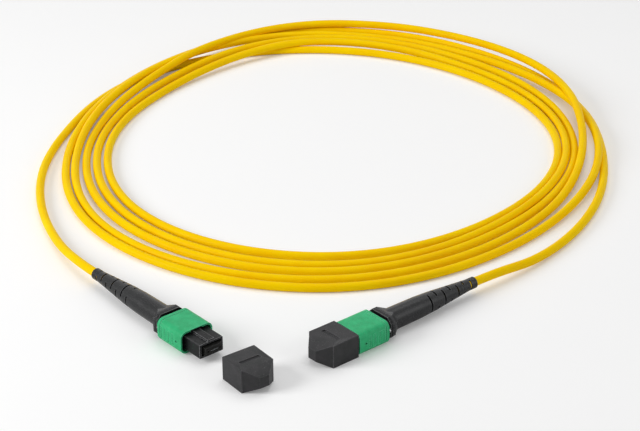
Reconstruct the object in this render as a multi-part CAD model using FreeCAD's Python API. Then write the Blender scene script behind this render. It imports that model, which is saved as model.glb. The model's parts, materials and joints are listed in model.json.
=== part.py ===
import FreeCAD, Part
import math
import os

os.makedirs("parts", exist_ok=True)

V = FreeCAD.Vector

# Frame: the origin is the middle of connector A's ferrule end face, +X is the way the
# connector mates, +Z is up. Each connector piece is modelled in this frame, and the
# connector at the cord's far end is the same pieces turned and moved to its place.

# Ferrule: a rectangular block for twelve fibres, polished at an angle
ferrule_width = 6.4
ferrule_height = 2.5
ferrule_length = 8.0
ferrule_flange_width = 7.0
ferrule_flange_height = 3.0
ferrule_flange_length = 1.6
polish_angle = 8.0
guide_hole_radius = 0.35
guide_hole_spacing = 4.6
window_length = 2.4
window_width = 3.0
ribbon_pocket_depth = 4.8
ribbon_pocket_width = 3.5
ribbon_pocket_height = 1.6

# Fibre ribbon and its soft boot behind the ferrule
ribbon_width = 3.1
ribbon_thickness = 0.32
ribbon_flat_length = 15.5
ribbon_gather_length = 4.5
bundle_radius = 0.6
ferrule_boot_overlap = 2.2
ferrule_boot_length = 4.4

# Pin keeper: the plate between ferrule and spring
keeper_thickness = 1.2
keeper_boss_length = 0.6
keeper_boss_wall = 0.25
keeper_boss_corner = 0.5

# Front housing: nose, key, stop for the sleeve, and the body inside the sleeve
nose_width = 9.0
nose_height = 4.9
nose_corner = 0.3
ferrule_protrusion = 1.4
nose_opening_clearance = 0.2
nose_mouth_clearance = 0.42
nose_mouth_depth = 1.5
key_width = 2.6
key_height = 0.6
key_setback = 0.1
key_length = 8.6
housing_rear_height = 5.6
housing_rear_corner = 0.6
latch_pocket_length = 2.4
latch_pocket_depth = 0.4
latch_pocket_height = 3.0
latch_pocket_from_nose = 8.8
side_window_clearance = 0.1
stop_width = 10.0
stop_length = 0.5
stop_ramp = 0.7
stop_height = 3.4
spring_chamber_width = 7.6
spring_chamber_height = 4.0

# Coupling sleeve
sleeve_width = 12.4
sleeve_height = 7.7
sleeve_length = 12.05
sleeve_corner = 2.2
nose_reach = 7.45
sleeve_mouth_width = 11.2
sleeve_mouth_height = 6.4
sleeve_mouth_corner = 1.5
sleeve_mouth_depth = 5.85
key_notch_width = 4.4
key_notch_depth = 0.35
key_notch_length = 1.2
rim_width = 1.05
rim_groove_width = 0.35
rim_groove_depth = 0.22
grip_count = 4
grip_front_offset = 4.1
grip_pitch = 1.9
grip_groove_width = 0.8
grip_groove_depth = 0.13
grip_groove_height = 4.4
sight_hole_radius = 0.4
sight_hole_from_front = 2.5
sleeve_travel = 1.2
sleeve_end_clearance = 0.1

# Springs
coupling_spring_diameter = 1.3
coupling_spring_wire = 0.25
coupling_spring_turns = 3
coupling_spring_length = 5.5
coupling_spring_sink = 0.2
ferrule_spring_width = 6.2
ferrule_spring_height = 3.7
ferrule_spring_wire = 0.42
ferrule_spring_turns = 3
ferrule_spring_length = 8.64

# Back post: the spring push with its shoulder plate and crimp neck
leg_thickness = 0.55
leg_height = 2.2
leg_length = 2.9
barb_setback = 0.3
barb_reach = 0.65
barb_length = 0.9
barb_land = 0.27
shoulder_width = 10.8
shoulder_height = 8.0
shoulder_chamfer = 1.8
shoulder_thickness = 1.3
neck_length = 7.2
neck_radius = 1.95
neck_ridge_height = 0.15
neck_ridge_count = 3
neck_ridge_length = 1.2
neck_bore = 1.25
ribbon_slot_width = 3.8
ribbon_slot_height = 1.4
ribbon_slot_floor = 0.3

# Strength yarn, crimp ring and cable
yarn_thickness = 0.2
crimp_wall = 0.42
crimp_gap = 0.6
crimp_overhang = 0.2
crimp_step_length = 0.7
crimp_tail_length = 4.6
cable_diameter = 3.0
cable_bore = 1.6
cable_end_gap = 0.1
bundle_end_inset = 1.5

# Bend relief boot
boot_length = 39.25
boot_flange_land = 0.5
boot_flange_slope_length = 2.5
boot_flange_side_drop = 1.65
boot_flange_top_drop = 0.6
boot_flange_rear_chamfer = 2.2
boot_joint_gap = 0.12
boot_barrel_radius = 3.8
boot_shoulder_radius = 3.62
boot_end_radius = 1.95
boot_ring_length = 3.0
boot_taper_length = 15.7
boot_taper_end_radius = 3.3
boot_blend_length = 6.3
boot_bore_step = 0.7
slit_count = 7
slit_rear_offset = 2.5
slit_pitch = 3.1
slit_width = 0.7
slit_web_ratio = 0.5

# Dust cap
cap_width = 11.8
cap_height = 8.0
cap_body_length = 10.15
cap_nose_length = 3.75
cap_nose_width = 3.4
cap_top_drop = 2.2
cap_bottom_rise = 2.0
cap_edge = 0.25
cap_cavity_clearance = 0.08
cap_end_clearance = 0.5
cap_slot_length = 1.5
cap_slot_width = 7.2
cap_slot_depth = 0.45
cap_slot_from_rear = 5.6
cap_gap = 0.3

# Fits
slide_fit = 0.1
seat_gap = 0.02
ring_fit = 0.02
cable_fit = 0.05
bite = 0.1
past = 1.0

# Places of the connector at the far end and of the cap that is off
far_x = 21.7
far_y = 26.2
far_turn = -90.0
near_slit_turn = 29.0
far_slit_turn = 22.0
loose_cap_x = 10.6
loose_cap_y = 1.1
loose_cap_turn = -4.0

# Coil: a flat ring of turns, laid down beside the connectors
coil_x = -90.8
coil_y = 122.8
coil_turn = 50.0
coil_outer_long = 110.0
coil_outer_short = 103.5
coil_outer_shift_long = 2.8
coil_outer_shift_short = -1.0
coil_inner_long = 85.9
coil_inner_short = 79.9
coil_inner_shift_long = 0.2
coil_inner_shift_short = 2.7
coil_height = 6.0
cord_rest_gap = 0.1
near_exit_length = 10.2
far_exit_length = 10.8

# Worked-out places along the connector
nose_front = -ferrule_protrusion
sleeve_front = nose_front - nose_reach
sleeve_rear = sleeve_front - sleeve_length
sleeve_rib_front = sleeve_front - sleeve_mouth_depth
stop_rear = sleeve_rib_front + seat_gap
shoulder_front = sleeve_rear - sleeve_travel - sleeve_end_clearance
shoulder_rear = shoulder_front - shoulder_thickness
neck_rear = shoulder_rear - neck_length
flange_stop = -ferrule_length + ferrule_flange_length + seat_gap
keeper_front = -ferrule_length - seat_gap
keeper_rear = keeper_front - keeper_thickness
ferrule_spring_front = keeper_rear - seat_gap
ferrule_spring_rear = ferrule_spring_front - ferrule_spring_length
post_front = ferrule_spring_rear - seat_gap
coupling_spring_rear = shoulder_front + seat_gap
coupling_spring_front = coupling_spring_rear + coupling_spring_length
coupling_spring_y = nose_width / 2 + coupling_spring_diameter / 2 - coupling_spring_sink
spring_groove = coupling_spring_diameter + 2 * slide_fit
chamber_width = ferrule_flange_width + 3 * slide_fit
chamber_height = ferrule_flange_height + 3 * slide_fit
chamber_rear = keeper_front
leg_front = post_front + leg_length
leg_outer = spring_chamber_width / 2 - seat_gap
barb_front = leg_front - barb_setback
barb_rear = barb_front - barb_length
yarn_inner = neck_radius + neck_ridge_height + ring_fit
yarn_outer = yarn_inner + yarn_thickness
crimp_inner = yarn_outer + ring_fit
crimp_outer = crimp_inner + crimp_wall
crimp_front = shoulder_rear - crimp_gap
crimp_step = neck_rear - crimp_overhang
crimp_tail_front = crimp_step - crimp_step_length
crimp_tail_rear = crimp_tail_front - crimp_tail_length
cable_radius = cable_diameter / 2
crimp_tail_inner = cable_radius + ring_fit
crimp_tail_outer = crimp_tail_inner + crimp_wall
cable_front = crimp_tail_front - cable_end_gap
boot_front = shoulder_rear - boot_joint_gap
boot_rear = boot_front - boot_length
boot_land_rear = boot_front - boot_flange_land
boot_flange_rear = boot_land_rear - boot_flange_slope_length
axis_height = max(cap_height, shoulder_height, sleeve_height) / 2
floor_z = -axis_height
cord_z = floor_z + cable_radius + cord_rest_gap

# Route of the cord from the near boot to the coil, and from the far boot to the coil
near_route = [
    V(boot_rear, 0, 0),
    V(boot_rear - near_exit_length, 0, 0),
    V(-88.2, 4.2, -2.0),
    V(-105.2, 10.8, cord_z),
    V(-122.7, 18.9, cord_z),
    V(-140.1, 29.9, cord_z),
    V(-155.2, 43.5, cord_z),
]
far_route = [
    V(far_x, far_y - boot_rear, 0),
    V(far_x, far_y - boot_rear + far_exit_length, 0),
    V(20.2, 116.0, -2.0),
    V(16.1, 134.5, cord_z),
    V(8.7, 154.5, cord_z),
    V(-4.0, 176.9, cord_z),
    V(-20.5, 195.7, cord_z),
]


def block(rear, front, width, height, y=0.0, z=0.0):
    """A box from x = rear to x = front, centred on y and z."""
    corner = V(rear, y - width / 2, z - height / 2)
    return Part.makeBox(front - rear, width, height, corner)


def edges_along(shape, direction):
    straight = [e for e in shape.Edges if isinstance(e.Curve, Part.Line)]
    return [e for e in straight if abs(e.Curve.Direction.dot(direction)) > 0.999]


def rounded_block(rear, front, width, height, radius):
    body = block(rear, front, width, height)
    return body.makeFillet(radius, edges_along(body, V(1, 0, 0)))


def rod(rear, front, radius, y=0.0, z=0.0):
    return Part.makeCylinder(radius, front - rear, V(rear, y, z), V(1, 0, 0))


def turned(outline):
    """A solid of revolution about X from (x, radius) corners."""
    points = [V(x, 0, radius) for x, radius in outline]
    face = Part.Face(Part.makePolygon(points + points[:1]))
    return face.revolve(V(0, 0, 0), V(1, 0, 0), 360)


def prism(corners, axis_point, direction):
    """A flat outline of corners pushed along a direction."""
    points = [corner + axis_point for corner in corners]
    face = Part.Face(Part.makePolygon(points + points[:1]))
    return face.extrude(direction)


def tapered_block(rear, front, rear_sides, front_sides):
    """A four-sided wedge along X; sides are (half width, bottom, top) at each end."""
    rear_half, rear_bottom, rear_top = rear_sides
    front_half, front_bottom, front_top = front_sides
    wedge = Part.makeWedge(-rear_half, rear, rear_bottom, front_bottom, -front_half,
                           rear_half, front, rear_top, front_top, front_half)
    wedge.rotate(V(0, 0, 0), V(0, 0, 1), -90)
    return wedge


def eight_sided(x, width, height, chamfer):
    """The corners of a rectangle across X with its own corners cut at 45 degrees."""
    y, z = width / 2, height / 2
    return [
        V(x, y, z - chamfer),
        V(x, y - chamfer, z),
        V(x, chamfer - y, z),
        V(x, -y, z - chamfer),
        V(x, -y, chamfer - z),
        V(x, chamfer - y, -z),
        V(x, y - chamfer, -z),
        V(x, y, chamfer - z),
    ]


def chamfered_plate(rear, front, width, height, chamfer):
    ring = eight_sided(rear, width, height, chamfer)
    return prism(ring, V(0, 0, 0), V(front - rear, 0, 0))


def mirrored_pair(shape):
    """A shape and its mirror image across the XZ plane."""
    return shape, shape.mirror(V(0, 0, 0), V(0, 1, 0))


def ferrule():
    slope_reach = ferrule_height * math.tan(math.radians(polish_angle))
    body = block(-ferrule_length, slope_reach, ferrule_width, ferrule_height)
    flange_front = -ferrule_length + ferrule_flange_length
    flange = block(-ferrule_length, flange_front, ferrule_flange_width, ferrule_flange_height)
    body = body.fuse(flange).removeSplitter()
    polish = block(0, ferrule_length, 2 * ferrule_width, 4 * ferrule_height)
    polish.rotate(V(0, 0, 0), V(0, 1, 0), -polish_angle)
    body = body.cut(polish)
    for side in (-1, 1):
        hole_y = side * guide_hole_spacing / 2
        hole = rod(-ferrule_length - past, slope_reach + past, guide_hole_radius, hole_y)
        body = body.cut(hole)
    pocket_front = -ferrule_length + ribbon_pocket_depth
    pocket = block(-ferrule_length - past, pocket_front, ribbon_pocket_width,
                   ribbon_pocket_height)
    window = block(pocket_front - window_length, pocket_front, window_width, ferrule_height,
                   0, ferrule_height / 2)
    return body.cut(pocket).cut(window)


def ferrule_boot():
    rear = -ferrule_length + ferrule_boot_overlap - ferrule_boot_length
    front = -ferrule_length + ferrule_boot_overlap
    width = ribbon_pocket_width - 2 * seat_gap
    height = ribbon_pocket_height - 2 * seat_gap
    slot = block(rear - past, front + past, ribbon_width + 2 * seat_gap,
                 ribbon_thickness + 2 * seat_gap)
    return block(rear, front, width, height).cut(slot)


def pin_keeper():
    plate = block(keeper_rear, keeper_front, ferrule_flange_width, ferrule_flange_height)
    opening_width = ribbon_pocket_width + 2 * slide_fit
    opening_height = ribbon_pocket_height + 2 * slide_fit
    boss_width = opening_width + 2 * keeper_boss_wall
    boss_height = opening_height + 2 * keeper_boss_wall
    boss_rear = keeper_rear - keeper_boss_length
    boss = rounded_block(boss_rear, keeper_rear, boss_width, boss_height, keeper_boss_corner)
    opening = rounded_block(boss_rear - past, keeper_front + past, opening_width,
                            opening_height, keeper_boss_corner - keeper_boss_wall)
    return plate.fuse(boss).removeSplitter().cut(opening)


def fibre_ribbon():
    """Twelve fibres: a flat ribbon that gathers into a round bundle inside the jacket."""
    front = -ferrule_length + ribbon_pocket_depth - seat_gap
    flat_rear = front - ribbon_flat_length
    round_front = flat_rear - ribbon_gather_length
    flat = block(flat_rear, front, ribbon_width, ribbon_thickness)
    half = bundle_radius * math.sqrt(0.5)
    gather = tapered_block(round_front, flat_rear, (half, -half, half),
                           (ribbon_width / 2, -ribbon_thickness / 2, ribbon_thickness / 2))
    bundle = block(boot_rear + bundle_end_inset, round_front, 2 * half, 2 * half)
    return flat.fuse([gather, bundle]).removeSplitter()


def housing_shell():
    nose = rounded_block(stop_rear, nose_front, nose_width, nose_height, nose_corner)
    rear = rounded_block(shoulder_front, stop_rear + stop_length, nose_width,
                         housing_rear_height, housing_rear_corner)
    key_front = nose_front - key_setback
    key_top = nose_height / 2 + key_height
    key = block(key_front - key_length, key_front, key_width, key_top, 0, key_top / 2)
    reach = stop_width / 2
    inner = nose_width / 2 - bite
    wedge = [V(stop_rear, inner, 0), V(stop_rear, reach, 0), V(stop_rear + stop_length, reach, 0),
             V(stop_rear + stop_length + stop_ramp, inner, 0)]
    stop = prism(wedge, V(0, 0, -stop_height / 2), V(0, 0, stop_height))
    return nose.fuse([rear, key, *mirrored_pair(stop)]).removeSplitter()


def front_housing():
    body = housing_shell()
    opening_width = ferrule_width + 2 * nose_opening_clearance
    opening_height = ferrule_height + 2 * nose_opening_clearance
    body = body.cut(block(flange_stop, nose_front + past, opening_width, opening_height))
    mouth_width = opening_width + 2 * nose_mouth_clearance
    mouth_height = opening_height + 2 * nose_mouth_clearance
    body = body.cut(block(nose_front - nose_mouth_depth, nose_front + past, mouth_width,
                          mouth_height))
    body = body.cut(block(chamber_rear, flange_stop, chamber_width, chamber_height))
    body = body.cut(block(shoulder_front - past, chamber_rear, spring_chamber_width,
                          spring_chamber_height))
    pocket_front = nose_front - latch_pocket_from_nose
    pocket = block(pocket_front - latch_pocket_length, pocket_front, 2 * latch_pocket_depth,
                   latch_pocket_height, nose_width / 2)
    window = block(barb_rear - side_window_clearance, barb_front + side_window_clearance,
                   nose_width, leg_height + 2 * side_window_clearance,
                   nose_width / 2 + leg_outer - bite)
    groove = block(shoulder_front - past, coupling_spring_front + slide_fit, spring_groove,
                   spring_groove, coupling_spring_y)
    for cutter in (pocket, window, groove):
        for side in mirrored_pair(cutter):
            body = body.cut(side)
    return body


def coupling_sleeve():
    body = rounded_block(sleeve_rear, sleeve_front, sleeve_width, sleeve_height, sleeve_corner)
    mouth = rounded_block(sleeve_rib_front, sleeve_front + past, sleeve_mouth_width,
                          sleeve_mouth_height, sleeve_mouth_corner)
    bore = rounded_block(sleeve_rear - past, sleeve_rib_front, nose_width + 2 * slide_fit,
                         housing_rear_height + 2 * slide_fit, housing_rear_corner)
    channel_reach = coupling_spring_y + coupling_spring_diameter / 2 + slide_fit
    channel = block(sleeve_rear - past, coupling_spring_front + seat_gap, 2 * channel_reach,
                    spring_groove)
    notch_top = sleeve_mouth_height / 2 + key_notch_depth
    notch = block(sleeve_front - key_notch_length, sleeve_front + past, key_notch_width,
                  notch_top, 0, notch_top / 2)
    body = body.cut(mouth).cut(bore).cut(channel).cut(notch)
    body = body.cut(rim_groove())
    sight = Part.makeCylinder(sight_hole_radius, 2 * sleeve_width,
                              V(sleeve_front - sight_hole_from_front, -sleeve_width, 0), V(0, 1, 0))
    body = body.cut(sight)
    for index in range(grip_count):
        middle = sleeve_front - grip_front_offset - index * grip_pitch
        groove = block(middle - grip_groove_width / 2, middle + grip_groove_width / 2,
                       2 * grip_groove_depth, grip_groove_height, sleeve_width / 2)
        for side in mirrored_pair(groove):
            body = body.cut(side)
    return body


def rim_groove():
    """The narrow groove round the sleeve that sets off its rear rim."""
    rear = sleeve_rear + rim_width
    front = rear + rim_groove_width
    outside = block(rear, front, 2 * sleeve_width, 2 * sleeve_height)
    core = rounded_block(rear, front, sleeve_width - 2 * rim_groove_depth,
                         sleeve_height - 2 * rim_groove_depth, sleeve_corner - rim_groove_depth)
    return outside.cut(core)


def back_post():
    plug = block(shoulder_front, post_front, spring_chamber_width - 2 * seat_gap,
                 spring_chamber_height - 2 * seat_gap)
    plate = chamfered_plate(shoulder_rear, shoulder_front, shoulder_width, shoulder_height,
                            shoulder_chamfer)
    neck = rod(neck_rear, shoulder_rear, neck_radius)
    leg = block(post_front, leg_front, leg_thickness, leg_height, leg_outer - leg_thickness / 2)
    wedge = [V(barb_rear, leg_outer - bite, 0), V(barb_rear, leg_outer + barb_reach, 0),
             V(barb_rear + barb_land, leg_outer + barb_reach, 0),
             V(barb_front, leg_outer - bite, 0)]
    barb = prism(wedge, V(0, 0, -leg_height / 2), V(0, 0, leg_height))
    body = plug.fuse([plate, neck, *mirrored_pair(leg), *mirrored_pair(barb)])
    for index in range(neck_ridge_count):
        middle = shoulder_rear - (index + 1) * neck_length / (neck_ridge_count + 1)
        body = body.fuse(neck_ridge(middle))
    body = body.removeSplitter()
    slot = block(shoulder_rear + ribbon_slot_floor, post_front + past, ribbon_slot_width,
                 ribbon_slot_height)
    return body.cut(slot).cut(rod(neck_rear - past, shoulder_front, neck_bore))


def neck_ridge(middle):
    """One ring on the crimp neck, with a pointed edge that holds the yarn."""
    rear = middle - neck_ridge_length / 2
    front = middle + neck_ridge_length / 2
    return turned([
        (rear, neck_radius - bite),
        (rear, neck_radius),
        (middle, neck_radius + neck_ridge_height),
        (front, neck_radius),
        (front, neck_radius - bite),
    ])


def strength_yarn():
    layer = rod(neck_rear, crimp_front, yarn_outer)
    return layer.cut(rod(neck_rear - past, crimp_front + past, yarn_inner))


def crimp_ring():
    """A stepped metal ring: its wide end grips the yarn, its narrow end the jacket."""
    return turned([
        (crimp_front, crimp_inner),
        (crimp_front, crimp_outer),
        (crimp_step, crimp_outer),
        (crimp_tail_front, crimp_tail_outer),
        (crimp_tail_rear, crimp_tail_outer),
        (crimp_tail_rear, crimp_tail_inner),
        (crimp_tail_front, crimp_tail_inner),
        (crimp_step, crimp_inner),
    ])


def cable_end():
    jacket = rod(boot_rear, cable_front, cable_radius)
    return jacket.cut(rod(boot_rear - past, cable_front + past, cable_bore / 2))


def boot_profile():
    """The boot's outside as (distance from its rear end, radius) corners."""
    taper_start = boot_ring_length
    taper_end = taper_start + boot_taper_length
    barrel_start = taper_end + boot_blend_length
    return [
        (0, boot_end_radius),
        (taper_start, boot_end_radius),
        (taper_end, boot_taper_end_radius),
        (barrel_start, boot_shoulder_radius),
        (boot_length, boot_barrel_radius),
    ]


def boot_radius(distance):
    """The boot's outside radius at a distance from its rear end."""
    corners = boot_profile()
    for (start, start_radius), (end, end_radius) in zip(corners, corners[1:]):
        if distance <= end:
            share = (distance - start) / (end - start)
            return start_radius + share * (end_radius - start_radius)
    return boot_barrel_radius


def boot_bore():
    """Room for the crimp ring, stepping down to the cable."""
    wide = crimp_outer + cable_fit
    middle = crimp_tail_outer + cable_fit
    narrow = cable_radius + cable_fit
    middle_rear = crimp_tail_rear - cable_fit
    return turned([
        (boot_front + past, 0),
        (boot_front + past, wide),
        (crimp_step, wide),
        (crimp_tail_front, middle),
        (middle_rear, middle),
        (middle_rear - boot_bore_step, narrow),
        (boot_rear - past, narrow),
        (boot_rear - past, 0),
    ])


def boot_flange():
    """The eight-sided end of the boot: a short land that slopes down to the barrel."""
    land = chamfered_plate(boot_land_rear, boot_front, shoulder_width, shoulder_height,
                           shoulder_chamfer)
    wide = eight_sided(boot_land_rear, shoulder_width, shoulder_height, shoulder_chamfer)
    narrow = eight_sided(boot_flange_rear, shoulder_width - 2 * boot_flange_side_drop,
                         shoulder_height - 2 * boot_flange_top_drop, boot_flange_rear_chamfer)
    rings = [Part.makePolygon(ring + ring[:1]) for ring in (wide, narrow)]
    return land.fuse(Part.makeLoft(rings, True, True))


def boot(slit_turn):
    outline = [(boot_rear + distance, radius) for distance, radius in boot_profile()]
    skin = turned([(boot_rear, 0), *outline, (boot_front, 0)])
    body = skin.fuse(boot_flange()).removeSplitter().cut(boot_bore())
    reach = 2 * boot_barrel_radius
    for index in range(slit_count):
        distance = slit_rear_offset + index * slit_pitch
        rear = boot_rear + distance - slit_width / 2
        inner = slit_web_ratio * boot_radius(distance)
        cutter = block(rear, rear + slit_width, reach, 2 * reach, inner + reach / 2)
        for side in mirrored_pair(cutter):
            side.rotate(V(0, 0, 0), V(1, 0, 0), slit_turn + 90 * (index % 2))
            body = body.cut(side)
    return body


def cap_shell():
    """The cap's outside: a box with a blunt, four-sided wedge for its end."""
    half = cap_height / 2
    body = rounded_block(0, cap_body_length, cap_width, cap_height, cap_edge)
    end = cap_body_length + cap_nose_length
    wedge = tapered_block(cap_body_length, end, (cap_width / 2 - cap_edge, -half, half),
                          (cap_nose_width / 2, cap_bottom_rise - half, half - cap_top_drop))
    return body.fuse(wedge).removeSplitter()


def dust_cap():
    """The cap in its own frame: its open rear face is at x = 0."""
    depth = nose_reach + ferrule_protrusion - cap_gap + cap_end_clearance
    cavity = rounded_block(-past, depth, nose_width + 2 * cap_cavity_clearance,
                           nose_height + 2 * cap_cavity_clearance, nose_corner)
    slot_top = nose_height / 2 + key_height + cap_cavity_clearance
    key_slot = block(-past, depth, key_width + 2 * cap_cavity_clearance, slot_top, 0, slot_top / 2)
    grip = block(cap_slot_from_rear, cap_slot_from_rear + cap_slot_length, cap_slot_width,
                 2 * cap_slot_depth, 0, cap_height / 2)
    return cap_shell().cut(cavity).cut(key_slot).cut(grip)


def coil_spring(rear, length, radius, wire, turns):
    """A helical spring along X, wound from square wire."""
    pitch = (length - wire) / turns
    helix = Part.makeHelix(pitch, pitch * turns, radius)
    half = wire / 2
    corners = [V(radius - half, 0, -half), V(radius + half, 0, -half),
               V(radius + half, 0, half), V(radius - half, 0, half)]
    section = Part.makePolygon(corners + corners[:1])
    spring = Part.Wire(helix).makePipeShell([section], True, True)
    spring.rotate(V(0, 0, 0), V(0, 1, 0), 90)
    spring.translate(V(rear + half, 0, 0))
    return spring


def coupling_springs():
    radius = (coupling_spring_diameter - coupling_spring_wire) / 2
    spring = coil_spring(coupling_spring_rear, coupling_spring_length, radius,
                         coupling_spring_wire, coupling_spring_turns)
    spring.translate(V(0, coupling_spring_y, 0))
    return Part.Compound(list(mirrored_pair(spring)))


def ferrule_spring():
    """The oval spring behind the pin keeper: a round one, flattened in Z."""
    radius = (ferrule_spring_width - ferrule_spring_wire) / 2
    spring = coil_spring(ferrule_spring_rear, ferrule_spring_length, radius,
                         ferrule_spring_wire, ferrule_spring_turns)
    flatten = FreeCAD.Matrix()
    flatten.scale(V(1, 1, ferrule_spring_height / ferrule_spring_width))
    return spring.transformGeometry(flatten)


def cord_tube(route):
    """A tube of straight runs joined by tangent arcs; prints each arc's radius."""
    edges = []
    radii = []
    start = route[0]
    for before, corner, after in zip(route, route[1:], route[2:]):
        back = before - corner
        ahead = after - corner
        shorter = min(back.Length, ahead.Length)
        back.normalize()
        ahead.normalize()
        turn = math.pi - back.getAngle(ahead)
        setback = 0.45 * shorter
        radius = setback / math.tan(turn / 2)
        radii.append(round(radius, 1))
        arc_start = corner + back * setback
        arc_end = corner + ahead * setback
        middle = back + ahead
        middle.normalize()
        arc_middle = corner + middle * (radius / math.cos(turn / 2) - radius)
        edges.append(Part.LineSegment(start, arc_start).toShape())
        edges.append(Part.Arc(arc_start, arc_middle, arc_end).toShape())
        start = arc_end
    edges.append(Part.LineSegment(start, route[-1]).toShape())
    path = Part.Wire(edges)
    section = Part.Wire(Part.makeCircle(cable_radius, route[0], route[1] - route[0]))
    tube = path.makePipeShell([section], True, False)
    expected = math.pi * cable_radius ** 2 * path.Length
    print("cord arcs", radii, "length", round(path.Length, 1),
          "volume ratio", round(tube.Volume / expected, 4))
    return tube


def ellipse_disc(long_half, short_half, shift_long, shift_short):
    """An upright elliptical disc in the coil's own frame: short axis X, long axis Y."""
    curve = Part.Ellipse(V(0, 0, 0), max(long_half, short_half), min(long_half, short_half))
    disc = Part.Face(Part.Wire(curve.toShape())).extrude(V(0, 0, coil_height))
    if long_half > short_half:
        disc.rotate(V(0, 0, 0), V(0, 0, 1), 90)
    disc.translate(V(shift_short, shift_long, 0))
    return disc


def cord_coil():
    """One closed ring with the outer shape of all the turns together."""
    outer = ellipse_disc(coil_outer_long, coil_outer_short, coil_outer_shift_long,
                         coil_outer_shift_short)
    inner = ellipse_disc(coil_inner_long, coil_inner_short, coil_inner_shift_long,
                         coil_inner_shift_short)
    ring = outer.cut(inner)
    ring.rotate(V(0, 0, 0), V(0, 0, 1), coil_turn)
    ring.translate(V(coil_x, coil_y, floor_z))
    return ring


def to_far_end(shape):
    moved = shape.copy()
    moved.rotate(V(0, 0, 0), V(0, 0, 1), far_turn)
    moved.translate(V(far_x, far_y, 0))
    return moved


def loose_cap():
    cap = dust_cap()
    cap.rotate(V(0, 0, 0), V(0, 0, 1), loose_cap_turn)
    cap.translate(V(loose_cap_x, loose_cap_y, floor_z + cap_height / 2))
    return cap


def seated_cap():
    cap = dust_cap()
    cap.translate(V(sleeve_front + cap_gap, 0, 0))
    return cap


connector = {
    "front_housing": front_housing,
    "coupling_sleeve": coupling_sleeve,
    "ferrule": ferrule,
    "ferrule_boot": ferrule_boot,
    "pin_keeper": pin_keeper,
    "ferrule_spring": ferrule_spring,
    "coupling_springs": coupling_springs,
    "back_post": back_post,
    "strength_yarn": strength_yarn,
    "crimp_ring": crimp_ring,
    "fibre_ribbon": fibre_ribbon,
    "cable_end": cable_end,
}

nodes = {
    "dust_cap_a": loose_cap(),
    "dust_cap_b": to_far_end(seated_cap()),
    "boot_a": boot(near_slit_turn),
    "boot_b": to_far_end(boot(far_slit_turn)),
}
for name, make in connector.items():
    piece = make()
    nodes[name + "_a"] = piece
    nodes[name + "_b"] = to_far_end(piece)
nodes["lead_a"] = cord_tube(near_route)
nodes["lead_b"] = cord_tube(far_route)
nodes["cord_coil"] = cord_coil()

for name, shape in nodes.items():
    shape.exportStep("parts/" + name + ".step")
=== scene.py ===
import json
import math

import bmesh
import bpy
from mathutils import Matrix, Vector
from mathutils.bvhtree import BVHTree

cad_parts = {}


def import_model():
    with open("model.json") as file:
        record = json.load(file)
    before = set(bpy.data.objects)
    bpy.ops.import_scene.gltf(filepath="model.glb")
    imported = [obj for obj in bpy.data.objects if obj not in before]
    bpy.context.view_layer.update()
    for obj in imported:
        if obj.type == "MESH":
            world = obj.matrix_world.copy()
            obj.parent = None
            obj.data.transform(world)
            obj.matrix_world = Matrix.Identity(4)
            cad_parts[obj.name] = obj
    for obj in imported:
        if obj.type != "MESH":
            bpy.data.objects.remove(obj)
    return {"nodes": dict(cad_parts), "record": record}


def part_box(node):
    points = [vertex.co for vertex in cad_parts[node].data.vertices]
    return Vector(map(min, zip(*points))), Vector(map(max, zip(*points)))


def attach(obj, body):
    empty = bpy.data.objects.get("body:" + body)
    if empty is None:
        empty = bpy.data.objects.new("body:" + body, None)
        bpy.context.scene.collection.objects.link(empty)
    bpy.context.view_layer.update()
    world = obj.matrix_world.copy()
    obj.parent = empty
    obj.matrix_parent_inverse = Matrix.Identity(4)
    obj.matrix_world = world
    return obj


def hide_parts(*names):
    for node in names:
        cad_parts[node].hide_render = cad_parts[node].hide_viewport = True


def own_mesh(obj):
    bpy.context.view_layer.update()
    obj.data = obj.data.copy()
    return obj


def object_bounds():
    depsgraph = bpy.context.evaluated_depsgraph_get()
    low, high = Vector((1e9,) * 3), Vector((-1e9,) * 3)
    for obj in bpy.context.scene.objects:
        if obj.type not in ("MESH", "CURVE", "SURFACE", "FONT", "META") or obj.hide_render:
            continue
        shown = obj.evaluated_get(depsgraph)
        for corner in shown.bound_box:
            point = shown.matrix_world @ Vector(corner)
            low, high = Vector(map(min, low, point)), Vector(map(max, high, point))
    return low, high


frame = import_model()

cad_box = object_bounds()
MM = 0.001

# ---------------------------------------------------------------- sizes and places

ENDS = ("a", "b")
floor_z = cad_box[0].z
cable_diameter = 3.0 * MM
cable_radius = cable_diameter / 2

# The far connector is the near one turned a quarter and moved to where its ferrule lies
ferrule_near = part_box("ferrule_a")
ferrule_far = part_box("ferrule_b")
far_place = Vector((
    (ferrule_far[0].x + ferrule_far[1].x) / 2,
    ferrule_far[0].y + ferrule_near[1].x,
    0,
))
end_place = {
    "a": Matrix.Identity(4),
    "b": Matrix.Translation(far_place) @ Matrix.Rotation(math.radians(-90), 4, "Z"),
}

# CAD pieces that stay as they are, but for their paint
cad_kept = ("ferrule", "ferrule_boot", "pin_keeper", "strength_yarn", "crimp_ring",
            "fibre_ribbon", "cable_end", "boot")

# Moulded edges: how wide the rounding is on each kind of piece
edge_width = {
    "front_housing": 0.06 * MM,
    "coupling_sleeve": 0.05 * MM,
    "back_post": 0.10 * MM,
    "dust_cap": 0.12 * MM,
}
edge_segments = 3
edge_angle = math.radians(35)
edge_stray_share = 0.8
weld_distance = 0.002 * MM
flat_angle = math.radians(1)

# Springs: wire thickness, number of turns, and how many of them lie flat at each end
coupling_wire = 0.22 * MM
coupling_turns = 8
ferrule_wire = 0.42 * MM
ferrule_turns = 5
closed_turns = 1.0
steps_per_turn = 28
wire_sides = 8

# Fibres: how many, how far apart, and their polished tips, which stand a little proud of the
# ferrule's sloping face
fibre_count = 12
fibre_pitch = 0.25 * MM
tip_radius = 0.0625 * MM
tip_height = 0.008 * MM
tip_segments = 12
tip_rings = 8
polish_degrees = 8

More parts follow.
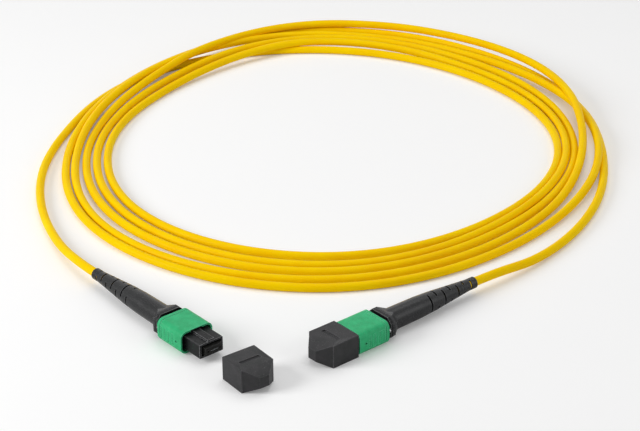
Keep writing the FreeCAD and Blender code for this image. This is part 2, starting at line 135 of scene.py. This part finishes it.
# The cord's points in millimetres, close to the solids' route: from the near boot to the
# coil, and from the far boot to the coil
near_route = [
    (-62.87, 0, 0), (-73.07, 0, 0), (-90.8, 3.9, -2.0), (-110.5, 11.1, -2.4),
    (-127.9, 20.6, -2.4), (-143.1, 32.2, -2.4), (-155.6, 45.7, -2.4),
]
far_route = [
    (21.7, 89.07, 0), (21.8, 99.87, -0.1), (21.9, 116.0, -2.0), (18.9, 133.5, -2.4),
    (12.1, 152.7, -2.4), (0.8, 172.3, -2.4), (-17.3, 192.6, -2.4),
]
coil_centre = Vector((-90.8, 122.8, 0))
coil_turn = math.radians(50)
coil_start = math.radians(180)
coil_sides = 8
steps_per_side = 5
# Radius of each turn in millimetres at eight places round the coil: left, back left, back,
# back right, right, front right, front, front left
turn_radii = [
    (99.9, 95.6, 89.0, 84.1, 84.7, 82.3, 85.2, 84.3),
    (80.4, 80.7, 92.2, 88.8, 87.7, 85.7, 91.3, 89.1),
    (84.2, 85.2, 98.9, 94.0, 90.7, 89.3, 95.7, 93.5),
    (87.9, 88.6, 108.6, 105.8, 93.7, 94.1, 101.1, 100.0),
    (91.3, 91.9, 103.6, 98.9, 99.2, 98.9, 106.4, 103.6),
    (94.6, 94.5, 108.4, 103.6, 101.3),
]
# The radii one place before the first turn and one after the last
radius_before = 121.0
radius_after = 110.1
# The order in which the turns lie on each other, lowest first
laid_order = (0, 5, 4, 2, 1, 3)
# How many steps a turn takes to climb over another
climb_reach = 2

# Floor: its size, its own faint glow near the object and far from it, and how far from the
# middle one starts to give way to the other and has done so
floor_half = 4.0
floor_cells = 8
floor_glow = 0.14
far_floor_glow = 0.62
near_floor = 0.55
far_floor = 1.3

# Lamps: place from the middle of the object and sides in metres, power in watts
softboxes = {
    "overhead_softbox": ((-0.1, 0.15, 0.8), (0.7, 0.7), 2.5),
    "left_softbox": ((-0.25, -0.75, 0.40), (0.4, 0.4), 4.4),
    "right_softbox": ((0.75, 0.35, 0.40), (0.5, 0.5), 1.3),
}
world_light = 0.28
world_white = 1.0

# Camera: looks down at the coil from the connectors' side
camera_azimuth = math.radians(50)
camera_elevation = math.radians(27.63)
camera_roll = math.radians(-0.41)
camera_distance = 740 * MM
camera_target = Vector((-52.2 * MM, 86.5 * MM, floor_z))
lens_length = 120
sensor_width = 36


# ---------------------------------------------------------------- node helpers

def add_node(tree, kind, inputs=None, **settings):
    """A shader node with its settings, and its inputs linked or given a value."""
    made = tree.nodes.new("ShaderNode" + kind)
    for name, value in settings.items():
        setattr(made, name, value)
    for name, value in (inputs or {}).items():
        socket = made.inputs[name]
        if isinstance(value, bpy.types.NodeSocket):
            tree.links.new(value, socket)
        else:
            socket.default_value = value
    return made


def maths(tree, operation, first, second=0.5, clamp=False):
    """The result of a sum; operations on one value ignore the second."""
    made = add_node(tree, "Math", {0: first, 1: second}, operation=operation, use_clamp=clamp)
    return made.outputs[0]


# Places of the colour sockets on a Mix node
MIX_SHARE, MIX_FIRST, MIX_SECOND, MIX_RESULT = 0, 6, 7, 2


def mixed_colour(tree, share, first, second):
    inputs = {MIX_SHARE: share, MIX_FIRST: first, MIX_SECOND: second}
    return add_node(tree, "Mix", inputs, data_type="RGBA").outputs[MIX_RESULT]


def noise(tree, place, scale, detail, **inputs):
    """The value of a noise texture."""
    values = {"Vector": place, "Scale": scale, "Detail": detail, **inputs}
    return add_node(tree, "TexNoise", values).outputs[0]


def own_place(tree):
    """Where a point is on its object, so that a texture stays put when the piece moves."""
    return add_node(tree, "TexCoord").outputs["Object"]


def stretched_place(tree, stretch):
    """Where a point is on its object, drawn out along the directions with a small share."""
    return add_node(tree, "Mapping", {"Vector": own_place(tree), "Scale": stretch}).outputs[0]


def new_group(name, inputs, outputs):
    """An empty node group with float inputs (name, value) and outputs (name, kind)."""
    tree = bpy.data.node_groups.new(name, "ShaderNodeTree")
    for label, value in inputs:
        socket = tree.interface.new_socket(label, in_out="INPUT", socket_type="NodeSocketFloat")
        socket.default_value = value
    for label, kind in outputs:
        tree.interface.new_socket(label, in_out="OUTPUT", socket_type="NodeSocket" + kind)
    start = tree.nodes.new("NodeGroupInput")
    end = tree.nodes.new("NodeGroupOutput")
    return tree, start.outputs, end.inputs


def moulded_grain_group():
    """Fine moulded texture with broad, faint unevenness below it."""
    tree, given, out = new_group(
        "moulded_grain",
        [("Grain per metre", 6000.0), ("Unevenness per metre", 300.0), ("Unevenness share", 0.4)],
        [("Height", "Float"), ("Shade", "Float")],
    )
    shade_start, shade_gain = 0.34, 3.0
    place = own_place(tree)
    grain = noise(tree, place, given["Grain per metre"], 2.0, Roughness=0.6)
    broad = noise(tree, place, given["Unevenness per metre"], 6.0, Roughness=0.72)
    share = given["Unevenness share"]
    low = maths(tree, "MULTIPLY", broad, share)
    high = maths(tree, "MULTIPLY", grain, maths(tree, "SUBTRACT", 1.0, share))
    tree.links.new(maths(tree, "ADD", low, high), out["Height"])
    above = maths(tree, "SUBTRACT", broad, shade_start)
    tree.links.new(maths(tree, "MULTIPLY", above, shade_gain, clamp=True), out["Shade"])
    return tree


def edge_wear_and_highlight_group():
    """A mask of rubbed edges and of a painted highlight on them: where the rounded normal leaves
    the surface's own.
    """
    tree, given, out = new_group(
        "edge_wear_and_highlight",
        [("Reach", 0.4 * MM), ("Amount", 1.0), ("Breakup per metre", 1500.0)],
        [("Mask", "Float")],
    )
    wear_and_highlight_gain = 6.0
    rounded = add_node(tree, "Bevel", {"Radius": given["Reach"]}, samples=4)
    plain = add_node(tree, "NewGeometry")
    agree = add_node(tree, "VectorMath", {0: rounded.outputs[0], 1: plain.outputs["Normal"]},
                     operation="DOT_PRODUCT")
    edge = maths(tree, "SUBTRACT", 1.0, agree.outputs["Value"], clamp=True)
    breakup = noise(tree, own_place(tree), given["Breakup per metre"], 4.0, Roughness=0.7)
    # The edge mask stands partly for real wear and partly for a painted highlight along the edges
    broken = maths(tree, "MULTIPLY", edge, maths(tree, "MULTIPLY", breakup, wear_and_highlight_gain))
    tree.links.new(maths(tree, "MULTIPLY", broken, given["Amount"], clamp=True), out["Mask"])
    return tree


def handling_group():
    """Fine rubbed streaks and smudges that change how glossy a used surface is."""
    tree, given, out = new_group(
        "handling_marks",
        [("Base", 0.4), ("Spread", 0.12), ("Marks per metre", 900.0)],
        [("Roughness", "Float")],
    )
    place = stretched_place(tree, (0.25, 1.0, 1.0))
    marks = noise(tree, place, given["Marks per metre"], 5.0, Roughness=0.65)
    centred = maths(tree, "SUBTRACT", marks, 0.5)
    change = maths(tree, "MULTIPLY", centred, maths(tree, "MULTIPLY", given["Spread"], 2.0))
    tree.links.new(maths(tree, "ADD", given["Base"], change, clamp=True), out["Roughness"])
    return tree


def dust_group():
    """Sparse pale specks on what faces up."""
    tree, given, out = new_group(
        "settled_dust",
        [("Specks per metre", 2500.0), ("Amount", 0.1)],
        [("Mask", "Float")],
    )
    speck_level = 0.68
    specks = noise(tree, own_place(tree), given["Specks per metre"], 1.0, Roughness=0.5)
    rare = maths(tree, "GREATER_THAN", specks, speck_level)
    facing = add_node(tree, "SeparateXYZ", {0: add_node(tree, "NewGeometry").outputs["Normal"]})
    upward = maths(tree, "MAXIMUM", facing.outputs["Z"], 0.0)
    dusty = maths(tree, "MULTIPLY", rare, upward)
    tree.links.new(maths(tree, "MULTIPLY", dusty, given["Amount"], clamp=True), out["Mask"])
    return tree


moulded_grain = moulded_grain_group()
edge_wear_and_highlight = edge_wear_and_highlight_group()
handling_marks = handling_group()
settled_dust = dust_group()


def use_group(tree, group, **values):
    """A group node; its inputs are named with underscores for spaces."""
    made = tree.nodes.new("ShaderNodeGroup")
    made.node_tree = group
    for name, value in values.items():
        made.inputs[name.replace("_", " ")].default_value = value
    return made.outputs


def new_material(name):
    """An empty material with its Principled shader, ready for its sockets."""
    made = bpy.data.materials.new(name)
    made.use_nodes = True
    return made, made.node_tree, made.node_tree.nodes["Principled BSDF"].inputs


def bump(tree, height, distance):
    made = add_node(tree, "Bump", {"Height": height, "Distance": distance, "Strength": 1.0})
    return made.outputs[0]


# ---------------------------------------------------------------- materials

recess_tint = (0.68, 0.74, 0.70)
dust_grey = (0.6, 0.6, 0.58, 1)


def moulded_plastic(name, colour, worn_and_highlit, base, spread, grain, wear_and_highlight, gloss_level):
    """Moulded plastic: fine grain, uneven tone, lighter edges that are partly rubbed and partly a
    painted highlight, and a little dust.
    """
    made, tree, shader = new_material(name)
    texture = use_group(tree, moulded_grain, Grain_per_metre=grain)
    rubbed_and_highlit = use_group(tree, edge_wear_and_highlight, Amount=wear_and_highlight)
    dust = use_group(tree, settled_dust, Amount=0.08)
    gloss = use_group(tree, handling_marks, Base=base, Spread=spread)
    deeper = (*(level * tint for level, tint in zip(colour, recess_tint)), 1)
    tone = mixed_colour(tree, texture["Shade"], deeper, (*colour, 1))
    # Lighter edges: partly real rubbing, partly a painted highlight where the edges catch the
    # light
    tone = mixed_colour(tree, rubbed_and_highlit["Mask"], tone, (*worn_and_highlit, 1))
    tone = mixed_colour(tree, dust["Mask"], tone, dust_grey)
    tree.links.new(tone, shader["Base Color"])
    tree.links.new(gloss["Roughness"], shader["Roughness"])
    tree.links.new(bump(tree, texture["Height"], 0.04 * MM), shader["Normal"])
    shader["Specular IOR Level"].default_value = gloss_level
    return made


def cable_jacket():
    """Extruded jacket: satin, with faint draw lines and a slightly uneven tone."""
    made, tree, shader = new_material("cable_jacket")
    texture = use_group(tree, moulded_grain, Grain_per_metre=2600.0, Unevenness_per_metre=60.0,
                        Unevenness_share=0.3)
    gloss = use_group(tree, handling_marks, Base=0.36, Spread=0.08, Marks_per_metre=500.0)
    dust = use_group(tree, settled_dust, Amount=0.05)
    tone = mixed_colour(tree, texture["Shade"], (0.98, 0.60, 0.0, 1), (1.0, 0.68, 0.0, 1))
    tone = mixed_colour(tree, dust["Mask"], tone, (0.95, 0.85, 0.6, 1))
    tree.links.new(tone, shader["Base Color"])
    tree.links.new(gloss["Roughness"], shader["Roughness"])
    tree.links.new(bump(tree, texture["Height"], 0.015 * MM), shader["Normal"])
    shader["Specular IOR Level"].default_value = 0.03
    return made


def drawn_metal(name, dark, light, base, stretch):
    """Drawn or stamped metal: streaks along one direction."""
    made, tree, shader = new_material(name)
    streaks = noise(tree, stretched_place(tree, stretch), 5000.0, 4.0, Roughness=0.6)
    gloss = use_group(tree, handling_marks, Base=base, Spread=0.08)
    tree.links.new(mixed_colour(tree, streaks, (*dark, 1), (*light, 1)), shader["Base Color"])
    tree.links.new(gloss["Roughness"], shader["Roughness"])
    tree.links.new(bump(tree, streaks, 0.005 * MM), shader["Normal"])
    shader["Metallic"].default_value = 1.0
    return made


def aramid_yarn():
    """Straight yellow filaments laid along the neck."""
    made, tree, shader = new_material("aramid_yarn")
    strands = noise(tree, stretched_place(tree, (0.05, 1.0, 1.0)), 9000.0, 3.0, Roughness=0.7)
    tone = mixed_colour(tree, strands, (0.45, 0.30, 0.03, 1), (0.90, 0.72, 0.22, 1))
    tree.links.new(tone, shader["Base Color"])
    tree.links.new(bump(tree, strands, 0.04 * MM), shader["Normal"])
    shader["Roughness"].default_value = 0.6
    shader["Sheen Weight"].default_value = 0.3
    return made


# Colours of the twelve fibres in a ribbon, in their usual order
fibre_paints = [
    (0.02, 0.10, 0.55), (0.90, 0.28, 0.02), (0.03, 0.40, 0.08), (0.22, 0.09, 0.03),
    (0.30, 0.32, 0.34), (0.85, 0.85, 0.82), (0.60, 0.03, 0.03), (0.02, 0.02, 0.02),
    (0.85, 0.65, 0.03), (0.25, 0.05, 0.40), (0.85, 0.30, 0.42), (0.08, 0.60, 0.65),
]


def ribbon_coating(name, middle, across):
    """Coloured fibres side by side in a clear matrix; across is the direction they fill."""
    made, tree, shader = new_material(name)
    shifted = add_node(tree, "VectorMath", {0: own_place(tree), 1: middle},
                       operation="SUBTRACT")
    measured = add_node(tree, "VectorMath", {0: shifted.outputs[0], 1: across},
                        operation="DOT_PRODUCT")
    from_middle = maths(tree, "MULTIPLY", measured.outputs["Value"], 1 / fibre_pitch)
    fibre = maths(tree, "ADD", from_middle, fibre_count / 2)
    share = maths(tree, "DIVIDE", maths(tree, "FLOOR", fibre), fibre_count)
    ramp = add_node(tree, "ValToRGB", {"Fac": share})
    ramp.color_ramp.interpolation = "CONSTANT"
    stops = ramp.color_ramp.elements
    for index, colour in enumerate(fibre_paints):
        position = index / fibre_count
        stop = stops[index] if index < len(stops) else stops.new(position)
        stop.position = position
        stop.color = (*colour, 1)
    across_fibre = maths(tree, "FRACT", fibre)
    bulge = maths(tree, "SINE", maths(tree, "MULTIPLY", across_fibre, math.pi))
    tree.links.new(ramp.outputs["Color"], shader["Base Color"])
    tree.links.new(bump(tree, bulge, 0.06 * MM), shader["Normal"])
    shader["Roughness"].default_value = 0.2
    shader["Coat Weight"].default_value = 0.6
    return made


def fibre_glass():
    """Polished glass ends, bright against the dark ferrule."""
    made, tree, shader = new_material("fibre_glass")
    cloud = noise(tree, own_place(tree), 20000.0, 2.0)
    tone = mixed_colour(tree, cloud, (0.55, 0.60, 0.66, 1), (0.85, 0.88, 0.92, 1))
    tree.links.new(tone, shader["Base Color"])
    shader["Roughness"].default_value = 0.08
    return made


def floor_paper():
    """Pale seamless paper that keeps the object's shadow and brightens far from it."""
    made, tree, shader = new_material("floor_paper")
    place = own_place(tree)
    cloud = noise(tree, place, 40.0, 3.0)
    tone = mixed_colour(tree, cloud, (0.90, 0.90, 0.90, 1), (0.91, 0.91, 0.91, 1))
    tree.links.new(tone, shader["Base Color"])
    shader["Roughness"].default_value = 0.9
    shader["Specular IOR Level"].default_value = 0.0
    path = add_node(tree, "LightPath")
    away = add_node(tree, "VectorMath", {0: place}, operation="LENGTH").outputs["Value"]
    glow = add_node(tree, "MapRange", {"Value": away, "From Min": near_floor,
                                       "From Max": far_floor, "To Min": floor_glow,
                                       "To Max": far_floor_glow})
    seen = maths(tree, "MULTIPLY", path.outputs["Is Camera Ray"], glow.outputs[0])
    shader["Emission Color"].default_value = (1, 1, 1, 1)
    tree.links.new(seen, shader["Emission Strength"])
    return made


# Colour, colour of rubbed edges with their painted highlight, roughness and its spread, grains
# per metre, amount of wear and painted edge highlight, gloss level
plastics = {
    "housing_plastic": ((0.012, 0.012, 0.013), (0.34, 0.34, 0.35), 0.30, 0.12, 7000.0, 1.3, 0.12),
    "sleeve_plastic": ((0.036, 0.50, 0.205), (0.19, 0.76, 0.46), 0.36, 0.10, 6000.0, 1.0, 0.14),
    "cap_plastic": ((0.052, 0.050, 0.053), (0.17, 0.165, 0.175), 0.46, 0.12, 4200.0, 0.9, 0.10),
    "boot_rubber": ((0.018, 0.018, 0.0195), (0.14, 0.14, 0.145), 0.26, 0.14, 5200.0, 0.9, 0.26),
    "ferrule_resin": ((0.022, 0.021, 0.020), (0.10, 0.10, 0.10), 0.24, 0.06, 9000.0, 0.4, 0.12),
    "soft_rubber": ((0.010, 0.010, 0.011), (0.03, 0.03, 0.03), 0.62, 0.10, 5000.0, 0.2, 0.3),
}
# Dark and light of the streaks, roughness, and how the streaks are drawn out
metals = {
    "spring_wire": ((0.52, 0.52, 0.54), (0.78, 0.78, 0.80), 0.22, (1, 1, 1)),
    "keeper_steel": ((0.46, 0.46, 0.48), (0.66, 0.66, 0.68), 0.32, (1, 0.1, 1)),
    "crimp_metal": ((0.58, 0.58, 0.60), (0.80, 0.80, 0.82), 0.30, (0.1, 1, 1)),
}
paint = {name: moulded_plastic(name, *values) for name, values in plastics.items()}
paint["cable_jacket"] = cable_jacket()
paint.update({name: drawn_metal(name, *values) for name, values in metals.items()})
paint["aramid_yarn"] = aramid_yarn()
paint["fibre_glass"] = fibre_glass()
ribbon_paint = {
    "a": ribbon_coating("ribbon_coating_near", (0, 0, 0), (0, 1, 0)),
    "b": ribbon_coating("ribbon_coating_far", tuple(far_place), (1, 0, 0)),
}

node_slot = {s["node"]: s["material_slot"] for s in frame["record"]["subparts"]}
node_body = {
    node: body for body, nodes in frame["record"]["behaviour"]["bodies"].items() for node in nodes
}


# ---------------------------------------------------------------- mesh helpers

def new_piece(name, mesh, body, material):
    """An object that rides on a body and wears the paint it is given for a slot."""
    piece = bpy.data.objects.new(name, mesh)
    bpy.context.scene.collection.objects.link(piece)
    piece.data.materials.clear()
    piece.data.materials.append(material)
    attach(piece, body)
    return piece


def bake_modifiers(piece):
    """Turns the piece's modifiers into plain mesh."""
    view = bpy.context.evaluated_depsgraph_get()
    view.update()
    mesh = bpy.data.meshes.new_from_object(piece.evaluated_get(view))
    piece.modifiers.clear()
    piece.data = mesh


def clean_copy(node):
    """The CAD piece's mesh as joined faces, without the seams of its triangles."""
    built = bmesh.new()
    built.from_mesh(frame["nodes"][node].data)
    bmesh.ops.remove_doubles(built, verts=built.verts, dist=weld_distance)
    bmesh.ops.dissolve_limit(built, angle_limit=flat_angle, verts=built.verts,
                             edges=built.edges)
    bmesh.ops.triangulate(built, faces=built.faces, ngon_method="BEAUTY")
    mesh = bpy.data.meshes.new(node)
    built.to_mesh(mesh)
    built.free()
    for layer in ("custom_normal", "sharp_edge", "sharp_face"):
        if layer in mesh.attributes:
            mesh.attributes.remove(mesh.attributes[layer])
    return mesh


def pull_back(mesh, solid, reach):
    """Puts the vertices that a narrow wall's rounding threw out back onto the solid."""
    solid.calc_loop_triangles()
    surface = BVHTree.FromPolygons([v.co for v in solid.vertices],
                                   [t.vertices for t in solid.loop_triangles])
    for vertex in mesh.vertices:
        nearest, _, _, distance = surface.find_nearest(vertex.co)
        if distance > reach:
            vertex.co = nearest


def softened(node, name, edge):
    """A piece with moulded, rounded edges that stands for a CAD node."""
    slot = node_slot[node]
    piece = new_piece(name, clean_copy(node), node_body[node], paint[slot])
    piece.data.polygons.foreach_set("use_smooth", [True] * len(piece.data.polygons))
    bevel = piece.modifiers.new("rounded_edges", "BEVEL")
    bevel.width = edge
    bevel.segments = edge_segments
    bevel.limit_method = "ANGLE"
    bevel.angle_limit = edge_angle
    bevel.use_clamp_overlap = False
    bevel.loop_slide = False
    bevel.miter_outer = "MITER_ARC"
    bevel.harden_normals = True
    bake_modifiers(piece)
    pull_back(piece.data, frame["nodes"][node].data, edge * edge_stray_share)
    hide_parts(node)
    return piece


def finish_mesh(built, name, place, smooth=True):
    """A mesh from what was built, moved to its place, with its faces turned outwards."""
    built.transform(place)
    bmesh.ops.recalc_face_normals(built, faces=built.faces)
    mesh = bpy.data.meshes.new(name)
    built.to_mesh(mesh)
    built.free()
    mesh.polygons.foreach_set("use_smooth", [smooth] * len(mesh.polygons))
    return mesh


# ---------------------------------------------------------------- connector pieces

def moulded_pieces(end):
    return [
        softened(node + "_" + end, node + "_moulding_" + end, width)
        for node, width in edge_width.items()
    ]


def wire_helix(built, start, length, half_y, half_z, wire, turns):
    """Round wire wound about X from start, its middle half_y and half_z from the axis; the end
    turns lie nearly flat.
    """
    total = int(turns * steps_per_turn)
    rings = []
    flat = closed_turns / turns
    for index in range(total + 1):
        share = index / total
        if share < flat:
            along = share / flat * wire
        elif share > 1 - flat:
            along = length - wire - (1 - share) / flat * wire
        else:
            inside = (share - flat) / (1 - 2 * flat)
            along = wire + inside * (length - 3 * wire)
        angle = 2 * math.pi * turns * share
        out = Vector((0, math.cos(angle), math.sin(angle)))
        centre = start + Vector((along + wire / 2, half_y * out.y, half_z * out.z))
        ring = []
        for side in range(wire_sides):
            turn = 2 * math.pi * side / wire_sides
            offset = out * math.cos(turn) + Vector((math.sin(turn), 0, 0))
            ring.append(built.verts.new(centre + offset * wire / 2))
        rings.append(ring)
    for before, after in zip(rings, rings[1:]):
        for side in range(wire_sides):
            other = (side + 1) % wire_sides
            built.faces.new((before[side], before[other], after[other], after[side]))
    built.faces.new(rings[0][::-1])
    built.faces.new(rings[-1])


def coupling_springs(end):
    """The pair of round-wire springs in the sleeve's side channels."""
    low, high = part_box("coupling_springs_a")
    length = high.x - low.x
    diameter = high.z - low.z
    half = (diameter - coupling_wire) / 2
    built = bmesh.new()
    middle = high.y - diameter / 2
    for side in (-1, 1):
        start = Vector((low.x, side * middle, 0))
        wire_helix(built, start, length, half, half, coupling_wire, coupling_turns)
    name = "coupling_springs_wire_" + end
    mesh = finish_mesh(built, name, end_place[end])
    piece = new_piece(name, mesh, "lead", paint["spring_wire"])
    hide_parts("coupling_springs_" + end)
    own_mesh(piece)
    return piece


def ferrule_spring(end):
    """The oval round-wire spring between pin keeper and back post."""
    low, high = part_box("ferrule_spring_a")
    length = high.x - low.x
    half_y = (high.y - low.y - ferrule_wire) / 2
    half_z = (high.z - low.z - ferrule_wire) / 2
    built = bmesh.new()
    start = Vector((low.x, 0, 0))
    wire_helix(built, start, length, half_y, half_z, ferrule_wire, ferrule_turns)
    name = "ferrule_spring_wire_" + end
    mesh = finish_mesh(built, name, end_place[end])
    piece = new_piece(name, mesh, "lead", paint["spring_wire"])
    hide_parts("ferrule_spring_" + end)
    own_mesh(piece)
    return piece


def fibre_ends(end):
    """Polished fibre tips in a row across the ferrule's sloping face."""
    slope = Matrix.Rotation(math.radians(90 - polish_degrees), 4, "Y")
    flatten = Matrix.Diagonal((1, 1, tip_height / tip_radius, 1))
    built = bmesh.new()
    for index in range(fibre_count):
        from_middle = (index - (fibre_count - 1) / 2) * fibre_pitch
        place = Matrix.Translation((0, from_middle, 0)) @ slope
        tip = bmesh.ops.create_uvsphere(built, u_segments=tip_segments, v_segments=tip_rings,
                                        radius=tip_radius)
        bmesh.ops.transform(built, matrix=place @ flatten, verts=tip["verts"])
    name = "fibre_ends_" + end
    mesh = finish_mesh(built, name, end_place[end])
    return new_piece(name, mesh, "ferrule_unit_" + end, paint["fibre_glass"])


def paint_cad(end):
    """Materials for the CAD pieces that stay as they are."""
    for kind in cad_kept:
        node = kind + "_" + end
        material = ribbon_paint[end] if kind == "fibre_ribbon" else paint[node_slot[node]]
        frame["nodes"][node].material_slots[0].material = material


pieces = {}
for end in ENDS:
    pieces[end] = moulded_pieces(end)
    pieces[end] += [coupling_springs(end), ferrule_spring(end), fibre_ends(end)]
    paint_cad(end)


# ---------------------------------------------------------------- cord

def smooth_between(values, place):
    """A value on the Catmull-Rom curve through the listed ones; place 0 is the second."""
    index = min(int(place), len(values) - 4)
    share = place - index
    a, b, c, d = values[index:index + 4]
    bend = (2 * a - 5 * b + 4 * c - d) * share + (3 * b - 3 * c + d - a) * share ** 2
    return 0.5 * (2 * b + (c - a) * share + bend * share)


def coil_radii():
    """The coil's radius at each step of its turns, from the radii at its eight sides."""
    passed = [radius for turn in turn_radii for radius in turn]
    values = [radius_before, *passed, radius_after]
    steps = steps_per_side * (len(passed) - 1)
    return [smooth_between(values, step / steps_per_side) for step in range(steps + 1)]


def resting_heights(radii):
    """How far each point of the coil is lifted by the turns that it lies on."""
    per_turn = coil_sides * steps_per_side
    apart = cable_diameter / MM
    lift = [0.0] * len(radii)
    laid = []
    for turn in laid_order:
        for step in range(turn * per_turn, min((turn + 1) * per_turn, len(radii))):
            for below in laid:
                other = step + (below - turn) * per_turn
                if not 0 <= other < len(radii):
                    continue
                gap = abs(radii[step] - radii[other])
                if gap < apart:
                    lift[step] = max(lift[step], lift[other] + math.sqrt(apart ** 2 - gap ** 2))
        laid.append(turn)
    return lift


def evened(values, reach):
    """Values with their peaks widened, then averaged over their neighbours."""
    last = len(values)
    wide = [max(values[max(0, i - reach):i + reach + 1]) for i in range(last)]
    spans = [wide[max(0, i - reach):i + reach + 1] for i in range(last)]
    return [sum(span) / len(span) for span in spans]


def coil_points():
    """The coil's points in millimetres, from the near lead's end to the far lead's."""
    radii = coil_radii()
    lifts = evened(resting_heights(radii), climb_reach)
    step_angle = 2 * math.pi / (coil_sides * steps_per_side)
    # Halfway along a span, a spline of this order takes three quarters of one point and an
    # eighth of each neighbour, so it runs a little inside them
    outward = 1 / (0.75 + 0.25 * math.cos(step_angle))
    points = []
    for index, (radius, lift) in enumerate(zip(radii, lifts)):
        angle = coil_start - index * step_angle + coil_turn
        flat = Vector((math.cos(angle), math.sin(angle), 0)) * radius * outward
        height = floor_z / MM + cable_radius / MM + lift
        points.append(coil_centre + flat + Vector((0, 0, height)))
    return points


def cord():
    """The whole cable as one spline: near lead, coil, far lead."""
    route = [Vector(p) for p in near_route] + coil_points()[1:-1]
    route += [Vector(p) for p in reversed(far_route)]
    curve = bpy.data.curves.new("cord_cable", "CURVE")
    curve.dimensions = "3D"
    curve.bevel_depth = cable_radius
    curve.bevel_resolution = 5
    curve.resolution_u = 4
    curve.use_fill_caps = True
    spline = curve.splines.new("NURBS")
    spline.points.add(len(route) - 1)
    for point, place in zip(spline.points, route):
        point.co = (*(place * MM), 1)
    spline.order_u = 3
    spline.use_endpoint_u = True
    spline.use_smooth = True
    return new_piece("cord_cable", curve, "lead", paint["cable_jacket"])


cable = cord()
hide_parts("lead_a", "cord_coil", "lead_b")


# ---------------------------------------------------------------- floor, light and camera

def floor():
    built = bmesh.new()
    bmesh.ops.create_grid(built, x_segments=floor_cells, y_segments=floor_cells, size=floor_half)
    mesh = finish_mesh(built, "floor", Matrix.Translation((0, 0, floor_z)), smooth=False)
    mesh.materials.append(floor_paper())
    made = bpy.data.objects.new("floor", mesh)
    bpy.context.scene.collection.objects.link(made)


def world():
    """White where it is seen or mirrored, and a softer light on everything else."""
    made = bpy.data.worlds.new("studio")
    made.use_nodes = True
    tree = made.node_tree
    tree.nodes.clear()
    path = add_node(tree, "LightPath").outputs
    seen = maths(tree, "MAXIMUM", path["Is Camera Ray"], path["Is Glossy Ray"])
    seen = maths(tree, "MAXIMUM", seen, path["Is Transmission Ray"])
    soft = add_node(tree, "Background", {"Color": (1, 1, 1, 1), "Strength": world_light})
    white = add_node(tree, "Background", {"Color": (1, 1, 1, 1), "Strength": world_white})
    both = add_node(tree, "MixShader", {0: seen, 1: soft.outputs[0], 2: white.outputs[0]})
    out = add_node(tree, "OutputWorld")
    tree.links.new(both.outputs[0], out.inputs["Surface"])
    bpy.context.scene.world = made


def softbox(name, place, size, power):
    """An area lamp that faces the middle of the object."""
    lamp = bpy.data.lights.new(name, "AREA")
    lamp.shape = "RECTANGLE"
    lamp.size, lamp.size_y = size
    lamp.energy = power
    made = bpy.data.objects.new(name, lamp)
    middle = (cad_box[0] + cad_box[1]) / 2
    made.location = middle + Vector(place)
    made.rotation_mode = "QUATERNION"
    made.rotation_quaternion = (middle - made.location).to_track_quat("-Z", "Y")
    bpy.context.scene.collection.objects.link(made)


def camera():
    """The camera, turned about its own axis by a slight roll."""
    sideways = math.cos(camera_elevation)
    back = Vector((math.sin(camera_azimuth) * sideways, -math.cos(camera_azimuth) * sideways,
                   math.sin(camera_elevation)))
    lens = bpy.data.cameras.new("camera")
    lens.lens = lens_length
    lens.sensor_width = sensor_width
    made = bpy.data.objects.new("camera", lens)
    made.location = camera_target + back * camera_distance
    made.rotation_mode = "QUATERNION"
    upright = (-back).to_track_quat("-Z", "Y")
    made.rotation_quaternion = upright @ Matrix.Rotation(camera_roll, 3, "Z").to_quaternion()
    bpy.context.scene.collection.objects.link(made)
    bpy.context.scene.camera = made


floor()
world()
for name, (place, size, power) in softboxes.items():
    softbox(name, place, size, power)
camera()
bpy.context.scene.view_settings.view_transform = "Standard"
